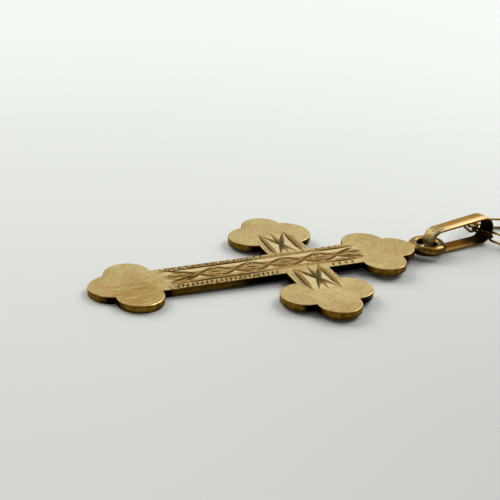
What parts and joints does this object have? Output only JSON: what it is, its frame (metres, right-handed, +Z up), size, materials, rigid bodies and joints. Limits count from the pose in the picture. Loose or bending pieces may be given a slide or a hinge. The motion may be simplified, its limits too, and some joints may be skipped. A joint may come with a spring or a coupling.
{
  "type": "cross necklace",
  "caption": "Necklace lying flat: an engraved budded cross hangs by its eye from a long bail on a fine cable chain with a spring ring clasp.",
  "frame": {"origin": "on the surface that the necklace lies on, under the middle of its bounding box", "axes": "+X along the cross's long bar from its foot to its eye, towards the chain; +Z up from the surface; +Y towards the far arm of the cross"},
  "size_m": [0.2074, 0.0979, 0.0027],
  "materials": {
    "gold": "9 carat gold, flat face finely scratched, engraving tarnished dark in its grooves",
    "rose_gold": "polished 9 carat gold of a slightly redder tone",
    "chain_gold": "polished 9 carat gold wire, darker where the links cross"
  },
  "bodies": {
    "root": {"cross": "gold", "bail": "rose_gold", "chain_left": "chain_gold", "chain_right": "chain_gold", "clasp": "chain_gold"}
  },
  "joints": []
}
